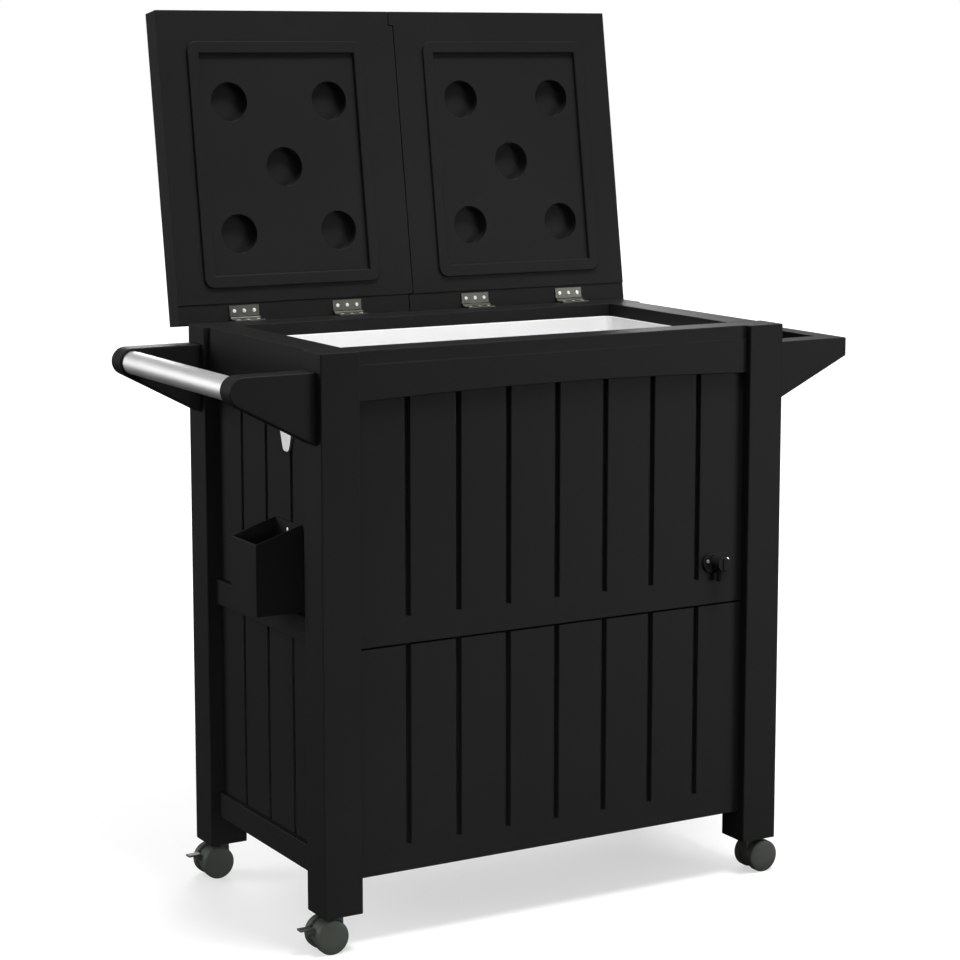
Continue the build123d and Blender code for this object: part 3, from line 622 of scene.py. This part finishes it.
class GeometryTree(Graph):
    """A Geometry Nodes tree with named inputs, evaluated to plain meshes."""

    def __init__(self, name: str) -> None:
        """Start an empty tree with its geometry sockets."""
        super().__init__(bpy.data.node_groups.new(name, "GeometryNodeTree"))
        self.tree.interface.new_socket("Geometry", in_out="INPUT", socket_type="NodeSocketGeometry")
        self.tree.interface.new_socket("Geometry", in_out="OUTPUT", socket_type="NodeSocketGeometry")
        self.entry = self.tree.nodes.new("NodeGroupInput")
        self.exit = self.tree.nodes.new("NodeGroupOutput")
        self.identifiers: dict[str, str] = {}
        self.base = Wire(self, self.entry.outputs["Geometry"])

    def input(self, name: str, kind: str = "NodeSocketFloat") -> Wire:
        """Add a named input.

        Args:
            name: The input's name.
            kind: The type of its socket.

        Returns:
            The input as a wire.
        """
        item = self.tree.interface.new_socket(name, in_out="INPUT", socket_type=kind)
        self.identifiers[name] = item.identifier
        return Wire(self, self.entry.outputs[name])

    def close(self, shapes: list[Wire]) -> None:
        """Join the shapes, make their instances real and give them the tree's material."""
        joined = self.node("GeometryNodeJoinGeometry", inputs={"Geometry": shapes})
        real = self.node("GeometryNodeRealizeInstances", inputs={"Geometry": joined})
        material = self.input("Material", "NodeSocketMaterial")
        dressed = self.node("GeometryNodeSetMaterial", inputs={"Geometry": real, "Material": material})
        self.tree.links.new(dressed.socket, self.exit.inputs["Geometry"])

    def rounded_bar(self, width: Wire, height: Wire, ease: Wire, start: Wire, end: Wire) -> Wire:
        """Sweep a rounded rectangle along a straight line.

        Args:
            width: Size of the section along its own X.
            height: Size of the section along its own Y.
            ease: Radius of the section's corners.
            start: First point of the line.
            end: Last point of the line.

        Returns:
            The bar, closed at both ends.
        """
        section = {"Width": width, "Height": height}
        outline = self.node("GeometryNodeCurvePrimitiveQuadrilateral", inputs=section)
        corners = {"Curve": outline, "Count": CORNER_STEPS, "Radius": ease}
        rounded = self.node("GeometryNodeFilletCurve", {"mode": "POLY"}, corners)
        line = self.node("GeometryNodeCurvePrimitiveLine", inputs={"Start": start, "End": end})
        sweep = {"Curve": line, "Profile Curve": rounded, "Fill Caps": True}
        return self.node("GeometryNodeCurveToMesh", inputs=sweep)

    def mesh(
        self, name: str, sizes: dict[str, Any], base: bpy.types.Mesh, placing: Matrix,
    ) -> bpy.types.Mesh:
        """Evaluate the tree on a base mesh.

        Args:
            name: The mesh's name.
            sizes: The tree's inputs by name.
            base: The mesh that the tree starts from.
            placing: Where the result goes.

        Returns:
            A plain mesh, in place.
        """
        carrier = bpy.data.objects.new(name, base)
        bpy.context.scene.collection.objects.link(carrier)
        modifier = carrier.modifiers.new("shape", "NODES")
        modifier.node_group = self.tree
        for key, value in sizes.items():
            modifier[self.identifiers[key]] = value
        depsgraph = bpy.context.evaluated_depsgraph_get()
        made = bpy.data.meshes.new_from_object(
            carrier.evaluated_get(depsgraph), preserve_all_data_layers=True, depsgraph=depsgraph,
        )
        carrier.modifiers.remove(modifier)
        bpy.data.objects.remove(carrier)
        made.transform(placing)
        return made


@cache
def slat_tree() -> GeometryTree:
    """Build the tree of a slatted board: a row of slats on a backing, over a band at the foot.

    Returns:
        The tree, made once. Its board runs along X, with the slats' faces at Y 0 and its back towards +Y.
    """
    tree = GeometryTree("slatted_board")
    width = tree.input("Width")
    height = tree.input("Height")
    slats = tree.input("Slats", "NodeSocketInt")
    groove = tree.input("Groove Width")
    depth = tree.input("Groove Depth")
    thickness = tree.input("Thickness")
    band = tree.input("Band Height")
    proud = tree.input("Band Proud")
    gap = tree.input("Band Gap")
    slat_ease = tree.input("Slat Ease")
    band_ease = tree.input("Band Ease")
    pitch = width / slats
    sunk = (depth + thickness) / 2
    foot = tree.vector(0.0, 0.0, band + gap)
    top = tree.vector(0.0, 0.0, height)

    def slat_row(slat_width: Wire, count: Value, first: Wire, step: Wire) -> Wire:
        """Stand equal slats in a row."""
        slat = tree.rounded_bar(slat_width, sunk, slat_ease, foot, top)
        across = tree.node("ShaderNodeSeparateXYZ", inputs={0: tree.node("GeometryNodeInputPosition")})
        # Ramp across each slat's rounded corners, which the finish paints lighter as real scuffing and as a
        # painted highlight.
        worn_and_highlit = ((abs(across) - slat_width / 2 + slat_ease) / (slat_ease * WEAR_AND_HIGHLIGHT_SHARE)).clamped()
        marked = tree.node(
            "GeometryNodeStoreNamedAttribute", {"data_type": "FLOAT", "domain": "POINT"},
            {"Geometry": slat, "Name": EDGE_ATTRIBUTE, "Value": worn_and_highlit},
        )
        row = {
            "Count": count, "Start Location": tree.vector(first, sunk / 2, 0.0),
            "Offset": tree.vector(step, 0.0, 0.0),
        }
        places = tree.node("GeometryNodeMeshLine", inputs=row)
        return tree.node("GeometryNodeInstanceOnPoints", inputs={"Points": places, "Instance": marked})

    inner_row = slat_row(pitch - groove, slats - END_SLATS, pitch * 1.5 - width / 2, pitch)
    end_width = pitch - groove / 2
    end_row = slat_row(end_width, END_SLATS, (end_width - width) / 2, width - end_width)
    backing = tree.node(
        "GeometryNodeMeshCube", inputs={"Size": tree.vector(width, thickness - depth, height - band)},
    )
    backing_place = tree.vector(0.0, (thickness + depth) / 2, (height + band) / 2)
    seated = tree.node("GeometryNodeTransform", inputs={"Geometry": backing, "Translation": backing_place})
    band_y = (thickness - proud) / 2
    band_bar = tree.rounded_bar(
        thickness + proud, band, band_ease,
        tree.vector(width * -0.5, band_y, band / 2), tree.vector(width / 2, band_y, band / 2),
    )
    tree.close([inner_row, end_row, seated, band_bar])
    return tree


@dataclass
class SlattedWall:
    """One wall of the cabinet: an upper and a lower slatted board."""

    wall: Wall
    slats: int
    band_proud: float
    groove_width: float = 8.0 * MM
    groove_depth: float = 8.0 * MM
    band_height: float = 37.0 * MM
    band_gap: float = 1.0 * MM
    slat_ease: float = 1.1 * MM
    band_ease: float = 1.4 * MM

    def placing(self, low: Vector, high: Vector) -> Matrix:
        """Find where a board stands.

        Args:
            low: The board's lowest corner.
            high: The board's highest corner.

        Returns:
            The turn and the place that take the front's board there.
        """
        middle = (low + high) / 2
        out = 1 - self.wall.across
        stands_low = self.wall in (Wall.FRONT, Wall.LEFT)
        middle[out] = low[out] + self.band_proud if stands_low else high[out] - self.band_proud
        middle.z = low.z
        return Matrix.Translation(middle) @ Matrix.Rotation(math.radians(self.wall.value), 4, "Z")

    def build(self) -> None:
        """Build both boards of the wall."""
        level = self.band_proud == 0
        out = 1 - self.wall.across
        for tier in ("upper", "lower"):
            node = f"{self.wall.title}_{tier}_panel"
            low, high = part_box(node)
            sizes = {
                "Width": high[self.wall.across] - low[self.wall.across],
                "Height": high.z - low.z,
                "Slats": self.slats,
                "Groove Width": self.groove_width,
                "Groove Depth": self.groove_depth,
                "Thickness": high[out] - low[out] - self.band_proud,
                "Band Height": self.band_height,
                "Band Proud": self.band_proud,
                "Band Gap": 0.0 if level else self.band_gap,
                "Slat Ease": self.slat_ease,
                "Band Ease": 0.0 if level else self.band_ease,
                "Material": BLACK_PLASTIC.material(),
            }
            board = slat_tree().mesh(node, sizes, bpy.data.meshes.new(node), self.placing(low, high))
            stand_in(f"{self.wall.title}_{tier}_slats", board, BLACK_PLASTIC, [node])


@cache
def screw_tree() -> GeometryTree:
    """Build the tree of a set of pan-head screws with cross recesses, one on each point of its base.

    Returns:
        The tree, made once. Its screws point up along Z, with their heads' seats on the points.
    """
    tree = GeometryTree("cross_head_screws")
    head = tree.input("Head Radius")
    rise = tree.input("Head Height")
    shank = tree.input("Shank Radius")
    length = tree.input("Shank Length")
    slot_width = tree.input("Slot Width")
    seed = tree.input("Seed", "NodeSocketInt")

    def turned(top: Value, bottom: Value, depth: Value, foot: Value) -> Wire:
        """Stand a round step of the screw on a height."""
        sizes = {"Vertices": SCREW_SIDES, "Radius Top": top, "Radius Bottom": bottom, "Depth": depth}
        cone = tree.node("GeometryNodeMeshCone", inputs=sizes)
        lift = tree.vector(0.0, 0.0, foot)
        return tree.node("GeometryNodeTransform", inputs={"Geometry": cone, "Translation": lift})

    lower = turned(head, head, rise * HEAD_WALL_SHARE, 0.0)
    crown = head * HEAD_CROWN_SHARE
    upper = turned(crown, head, rise * (1 - HEAD_WALL_SHARE), rise * HEAD_WALL_SHARE)
    stem = turned(shank, shank, length, length * -1.0)
    steps = {"Mesh 2": [lower, upper, stem]}
    solid = tree.node("GeometryNodeMeshBoolean", {"operation": "UNION", "solver": "EXACT"}, steps)
    arms = []
    reach = head * RECESS_REACH
    for x_size, y_size in ((reach, slot_width), (slot_width, reach)):
        arm = tree.node("GeometryNodeMeshCube", inputs={"Size": tree.vector(x_size, y_size, rise)})
        lift = tree.vector(0.0, 0.0, rise)
        arms.append(tree.node("GeometryNodeTransform", inputs={"Geometry": arm, "Translation": lift}))
    recess = {"Mesh 1": solid, "Mesh 2": arms}
    screw = tree.node("GeometryNodeMeshBoolean", {"operation": "DIFFERENCE", "solver": "EXACT"}, recess)
    limits = {RandomSocket.LOW: 0.0, RandomSocket.HIGH: math.pi, RandomSocket.SEED: seed}
    turn = tree.node("FunctionNodeRandomValue", {"data_type": "FLOAT"}, limits, RandomSocket.VALUE)
    places = {"Points": tree.base, "Instance": screw, "Rotation": tree.vector(0.0, 0.0, turn)}
    tree.close([tree.node("GeometryNodeInstanceOnPoints", inputs=places)])
    return tree


@dataclass
class ScrewSet:
    """The screws of one node, each put back where its solid is and facing the way it does."""

    node: str
    outwards: Sequence[Vector]
    seed: int
    head_radius: float = 2.8 * MM
    head_height: float = 0.8 * MM
    shank_radius: float = 1.6 * MM
    slot_width: float = 0.7 * MM
    out_of_round: float = 0.3 * MM

    def islands(self) -> list[list[Vector]]:
        """Split the node's points into its separate screws.

        Returns:
            The points of each screw.
        """
        shape = bmesh.new()
        shape.from_mesh(frame["nodes"][self.node].data)
        bmesh.ops.remove_doubles(shape, verts=shape.verts, dist=MERGE_DISTANCE)
        waiting = set(shape.verts)
        found = []
        while waiting:
            reach = [waiting.pop()]
            points = []
            while reach:
                corner = reach.pop()
                points.append(corner.co.copy())
                near = {edge.other_vert(corner) for edge in corner.link_edges} & waiting
                waiting -= near
                reach.extend(near)
            found.append(points)
        shape.free()

        def lowest_corner(points: list[Vector]) -> list[float]:
            """Round a screw's lowest corner, by which the screws keep one order."""
            return [round(min(point[axis] for point in points), PLACE_DIGITS) for axis in range(3)]

        return sorted(found, key=lowest_corner)

    def seats(self, back: Matrix) -> tuple[list[Vector], float]:
        """Find the screws whose heads look round along one direction.

        Args:
            back: The turn that takes that direction to +Z.

        Returns:
            Where their heads sit, and their shanks' length.
        """
        found = []
        lengths = [0.0]
        for points in self.islands():
            local = [back @ point for point in points]
            low = Vector(min(point[axis] for point in local) for axis in range(3))
            high = Vector(max(point[axis] for point in local) for axis in range(3))
            spread = high - low
            if max(abs(spread[axis] - 2 * self.head_radius) for axis in (0, 1)) > self.out_of_round:
                continue
            seat = (low + high) / 2
            seat.z = high.z - self.head_height
            found.append(seat)
            lengths.append(seat.z - low.z)
        return found, max(lengths)

    def build(self) -> None:
        """Build the screws in their node's place."""
        joined = bmesh.new()
        for outward in self.outwards:
            turn = Vector((0, 0, 1)).rotation_difference(outward).to_matrix().to_4x4()
            found, length = self.seats(turn.inverted())
            base = bpy.data.meshes.new(self.node)
            base.from_pydata(found, [], [])
            sizes = {
                "Head Radius": self.head_radius,
                "Head Height": self.head_height,
                "Shank Radius": self.shank_radius,
                "Shank Length": length,
                "Slot Width": self.slot_width,
                "Seed": self.seed,
                "Material": SCREW_STEEL.material(),
            }
            screws = screw_tree().mesh(self.node, sizes, base, turn)
            joined.from_mesh(screws)
            bpy.data.meshes.remove(screws)
        mesh = bpy.data.meshes.new(self.node)
        joined.to_mesh(mesh)
        joined.free()
        stand_in(f"{self.node}_cross_heads", mesh, SCREW_STEEL, [self.node])


@dataclass
class Cabinet:
    """Posts, rails, decks and walls."""

    post_ease: float = 1.4 * MM
    rail_ease: float = 1.1 * MM
    front_slats: int = 8
    side_slats: int = 4
    side_band_proud: float = 8.0 * MM
    corners: tuple[str, ...] = ("front_left", "front_right", "back_left", "back_right")
    rails: tuple[str, ...] = ("front_header", "back_rail", "left_rail", "right_rail")

    def build(self) -> None:
        """Build the cabinet."""
        for corner in self.corners:
            Moulding(f"post_{corner}", BLACK_PLASTIC, self.post_ease).build()
        for rail in self.rails:
            Moulding(rail, BLACK_PLASTIC, self.rail_ease).build()
        for hidden in ("castor_sockets", "mid_deck", "bottom_deck"):
            keep_node(hidden, BLACK_PLASTIC)
        for wall in (Wall.FRONT, Wall.BACK):
            SlattedWall(wall, self.front_slats, 0.0).build()
        for wall in (Wall.LEFT, Wall.RIGHT):
            SlattedWall(wall, self.side_slats, self.side_band_proud).build()


@dataclass
class CoolerTub:
    """White tub with its drain tap."""

    rim_ease: float = 1.0 * MM
    tap_ease: float = 0.7 * MM
    knob_ease: float = 0.9 * MM

    def build(self) -> None:
        """Build the tub and the tap."""
        Moulding("cooler_tub", WHITE_PLASTIC, self.rim_ease).build()
        Moulding("tap_body", BLACK_PLASTIC, self.tap_ease).build()
        Moulding("tap_knob", BLACK_PLASTIC, self.knob_ease).build()
        keep_node("tap_gasket", SEAL_RUBBER)
        keep_node("tap_nut", BLACK_PLASTIC)


@dataclass
class Lid:
    """One lid: shell, inner panel, hinge leaves and their screws."""

    side: str
    lean: float
    seed: int
    shell_ease: float = 0.9 * MM
    panel_ease: float = 0.7 * MM
    frame_ease: float = 2.4 * MM
    leaf_ease: float = 0.3 * MM

    def build(self) -> None:
        """Build the lid."""
        name = f"lid_{self.side}"
        Moulding(f"{name}_shell", BLACK_PLASTIC, self.shell_ease).build()
        outward = Vector((0, -math.cos(self.lean), math.sin(self.lean)))
        Moulding(f"{name}_panel", BLACK_PLASTIC, self.panel_ease, 3, outward, self.frame_ease).build()
        Moulding(f"{name}_hinge_leaves", BRIGHT_STEEL, self.leaf_ease).build()
        ScrewSet(f"{name}_hinge_screws", [outward], self.seed).build()


@dataclass
class HingeRow:
    """The leaves, pins and screws on the back rail."""

    seed: int = 31
    leaf_ease: float = 0.3 * MM
    pin_ease: float = 0.25 * MM

    def build(self) -> None:
        """Build the row."""
        Moulding("rail_hinge_leaves", BRIGHT_STEEL, self.leaf_ease).build()
        Moulding("hinge_pins", BRIGHT_STEEL, self.pin_ease).build()
        ScrewSet("rail_hinge_screws", [Vector((0, 0, 1))], self.seed).build()


@dataclass
class PushHandle:
    """Two tapered arms and the tube between them."""

    arm_ease: float = 1.8 * MM
    tube_wall: float = 1.8 * MM
    end_ease: float = 0.4 * MM

    def tube(self) -> None:
        """Turn the tube."""
        low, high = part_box("handle_tube")
        middle = (low + high) / 2
        radius = (high.z - low.z) / 2
        half = (high.y - low.y) / 2
        bore = radius - self.tube_wall
        profile = [
            (radius, -half + self.end_ease), (radius, half - self.end_ease), (radius - self.end_ease, half),
            (bore, half), (bore, -half), (radius - self.end_ease, -half),
        ]
        placing = Matrix.Translation(middle) @ Matrix.Rotation(math.radians(90), 4, "X")
        mesh = Lathe(profile).mesh("handle_tube", placing, closed=True)
        stand_in("handle_tube_brushed", mesh, BRUSHED_TUBE, ["handle_tube"])

    def build(self) -> None:
        """Build the handle."""
        for end in ("front", "back"):
            Moulding(f"handle_arm_{end}", BLACK_PLASTIC, self.arm_ease, 3).build()
        self.tube()


@dataclass
class SideFittings:
    """Side shelf, bottle opener and cap catcher, with the screws of these two and of the tap."""

    shelf_ease: float = 1.4 * MM
    opener_ease: float = 0.6 * MM
    catcher_ease: float = 0.8 * MM
    seed: int = 47

    def build(self) -> None:
        """Build the fittings."""
        Moulding("side_shelf", BLACK_PLASTIC, self.shelf_ease).build()
        Moulding("bottle_opener", POLISHED_ZINC, self.opener_ease).build()
        Moulding("cap_catcher", BLACK_PLASTIC, self.catcher_ease).build()
        ScrewSet("fitting_screws", [Vector((-1, 0, 0)), Vector((0, -1, 0))], self.seed).build()


@dataclass
class Castor:
    """Swivel castor: hood, twin wheels and, at the handle end, a brake pedal."""

    corner: str
    braked: bool
    hood_ease: float = 1.2 * MM
    pedal_ease: float = 0.7 * MM
    wheel_width: float = 13.0 * MM
    tread_ease: float = 1.2 * MM
    tread_width: float = 9.0 * MM
    face_power: float = 3.0
    face_steps: int = 18
    turn_steps: int = 72
    chamfer_share: float = 0.3
    axle_bore: float = 3.1 * MM
    axle_seat: float = 9.5 * MM

    def wheel_profile(self, radius: float) -> list[tuple[float, float]]:
        """Draw half a wheel's section, from the axle bore round the tread to the middle of its face.

        Args:
            radius: The wheel's radius.

        Returns:
            Points of radius and distance from the inner face.
        """
        edge = self.tread_ease
        crown = self.wheel_width - self.tread_width
        points = [(0.0, self.axle_seat), (self.axle_bore, self.axle_seat), (self.axle_bore, 0.0)]
        chamfer = edge * self.chamfer_share
        points += [(radius - edge, 0.0), (radius - chamfer, chamfer), (radius, edge)]
        for step in range(self.face_steps + 1):
            turn = step / self.face_steps * math.pi / 2
            reach = radius * math.cos(turn) ** (2 / self.face_power)
            points.append((reach, self.tread_width + crown * math.sin(turn) ** (2 / self.face_power)))
        points[-1] = (0.0, self.wheel_width)
        return points

    def wheels(self) -> None:
        """Turn the two wheels."""
        node = f"castor_{self.corner}_wheels"
        low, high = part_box(node)
        middle = (low + high) / 2
        radius = (high.z - low.z) / 2
        inner = (high.y - low.y) / 2 - self.wheel_width
        pair = bmesh.new()
        for face in (-1, 1):
            hub = Matrix.Translation(middle + Vector((0, face * inner, 0)))
            turn = Matrix.Rotation(math.radians(-90 * face), 4, "X")
            wheel = Lathe(self.wheel_profile(radius), self.turn_steps).mesh(node, hub @ turn, closed=False)
            pair.from_mesh(wheel)
            bpy.data.meshes.remove(wheel)
        mesh = bpy.data.meshes.new(node)
        pair.to_mesh(mesh)
        pair.free()
        stand_in(f"{node}_domed", mesh, GREY_TREAD, [node])

    def build(self) -> None:
        """Build the castor."""
        name = f"castor_{self.corner}"
        Moulding(f"{name}_hood", GREY_PLASTIC, self.hood_ease).build()
        self.wheels()
        if self.braked:
            Moulding(f"{name}_brake_pedal", GREY_PLASTIC, self.pedal_ease).build()
        keep_node(f"{name}_stem", BRIGHT_STEEL)
        keep_node(f"{name}_axle", BRIGHT_STEEL)


@dataclass(frozen=True)
class SoftBox:
    """A square area light: its place, the point it faces, its side, its watts and the angle it fills."""

    name: str
    place: tuple[float, float, float]
    target: tuple[float, float, float]
    size: float
    power: float
    spread: float = 180.0

    def hang(self) -> None:
        """Hang the light in the scene."""
        light = bpy.data.lights.new(self.name, "AREA")
        light.size = self.size
        light.spread = math.radians(self.spread)
        light.energy = self.power
        lamp = bpy.data.objects.new(self.name, light)
        lamp.location = self.place
        aim = Vector(self.target) - Vector(self.place)
        lamp.rotation_euler = aim.to_track_quat("-Z", "Y").to_euler()
        bpy.context.scene.collection.objects.link(lamp)


AT_CABINET = (0.0, 0.0, 0.6)
AT_PANELS = (0.0, 0.0, 0.3)
AT_CASTORS = (-0.3, 0.0, 0.0)
SOFT_BOXES = (
    SoftBox("key_light", (0.4, -1.2, 4.6), AT_CABINET, 1.1, 170.0),
    SoftBox("front_fill", (2.6, -2.9, 0.5), AT_PANELS, 1.6, 7.0, 50.0),
    SoftBox("castor_fill", (-2.1, -3.2, 0.5), AT_CASTORS, 0.8, 1.0, 25.0),
    SoftBox("left_fill", (-3.2, 2.0, 1.3), AT_CABINET, 2.0, 70.0),
    SoftBox("back_fill", (1.6, 3.6, 2.2), AT_CABINET, 2.0, 90.0),
)


@dataclass
class Studio:
    """Pale floor, soft light and the camera."""

    floor_half: float = 14.0
    floor_squares: int = 8
    camera_from_cart: tuple[float, float, float] = (-1.86441, -3.21922, 1.22342)
    camera_tilt: float = 81.69
    camera_turn: float = -29.95
    lens: float = 96.48
    sensor_width: float = 36.0
    shift_y: float = -0.06
    room_light: float = 0.55
    room_dusk: float = 0.02
    dawn_slope: float = 1.4
    dawn_lift: float = 0.15

    def cart_middle(self) -> float:
        """Place along Y of the middle between the front and the back posts."""
        return (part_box("post_front_left")[0].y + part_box("post_back_left")[1].y) / 2

    def floor(self) -> None:
        """Lay the floor, which throws no light back at the cart."""
        shape = bmesh.new()
        squares = self.floor_squares
        bmesh.ops.create_grid(shape, x_segments=squares, y_segments=squares, size=self.floor_half)
        mesh = bpy.data.meshes.new("studio_floor")
        shape.to_mesh(mesh)
        shape.free()
        mesh.materials.append(STUDIO_FLOOR.material())
        floor = bpy.data.objects.new("studio_floor", mesh)
        floor.visible_diffuse = False
        floor.visible_glossy = False
        bpy.context.scene.collection.objects.link(floor)

    def world(self) -> None:
        """Stand the cart before white, in a dimmer room that is dark towards the floor."""
        world = bpy.data.worlds.new("studio_world")
        world.use_nodes = True
        graph = Graph(world.node_tree)
        graph.tree.nodes.clear()
        direction = graph.node("ShaderNodeTexCoord", output="Generated")
        height = graph.node("ShaderNodeSeparateXYZ", inputs={0: direction}, output=2)
        dawn = (height * self.dawn_slope + self.dawn_lift).clamped()
        glow = self.room_dusk + dawn * (self.room_light - self.room_dusk)
        white = (1, 1, 1, 1)
        room = graph.node("ShaderNodeBackground", inputs={"Color": white, "Strength": glow})
        backdrop = graph.node("ShaderNodeBackground", inputs={"Color": white, "Strength": 1.0})
        seen = graph.node("ShaderNodeLightPath", output="Is Camera Ray")
        shown = graph.node("ShaderNodeMixShader", inputs={0: seen, 1: room, 2: backdrop})
        output = graph.tree.nodes.new("ShaderNodeOutputWorld")
        graph.tree.links.new(shown.socket, output.inputs["Surface"])
        bpy.context.scene.world = world

    def camera(self) -> None:
        """Set the camera."""
        data = bpy.data.cameras.new("photo_camera")
        data.lens = self.lens
        data.sensor_width = self.sensor_width
        data.shift_y = self.shift_y
        data.dof.use_dof = False
        camera = bpy.data.objects.new("photo_camera", data)
        camera.location = Vector(self.camera_from_cart) + Vector((0, self.cart_middle(), 0))
        camera.rotation_euler = Euler((math.radians(self.camera_tilt), 0, math.radians(self.camera_turn)))
        bpy.context.scene.collection.objects.link(camera)
        bpy.context.scene.camera = camera

    def build(self) -> None:
        """Build the studio."""
        self.floor()
        self.world()
        for light in SOFT_BOXES:
            light.hang()
        self.camera()
        bpy.context.scene.view_settings.view_transform = "Standard"


def lid_lean() -> float:
    """Work out how far the open lids lean back, from how far they turn to lie flat.

    Returns:
        The lean in radians.
    """
    joints = frame["record"]["behaviour"]["joints"]
    turn = next(joint["range_deg"][1] for joint in joints if joint["name"] == "lid_left_hinge")
    return math.radians(turn - 90)


def main() -> None:
    """Build every piece of the cart and the studio."""
    logging.basicConfig(level=logging.INFO, format="%(message)s")
    Cabinet().build()
    CoolerTub().build()
    lean = lid_lean()
    LOG.info("lids lean %.2f degrees", math.degrees(lean))
    for side, seed in LID_SEEDS.items():
        Lid(side, lean, seed).build()
    HingeRow().build()
    PushHandle().build()
    SideFittings().build()
    for corner in Cabinet.corners:
        Castor(corner, corner.endswith("left")).build()
    Studio().build()


if __name__ == "__main__":
    main()
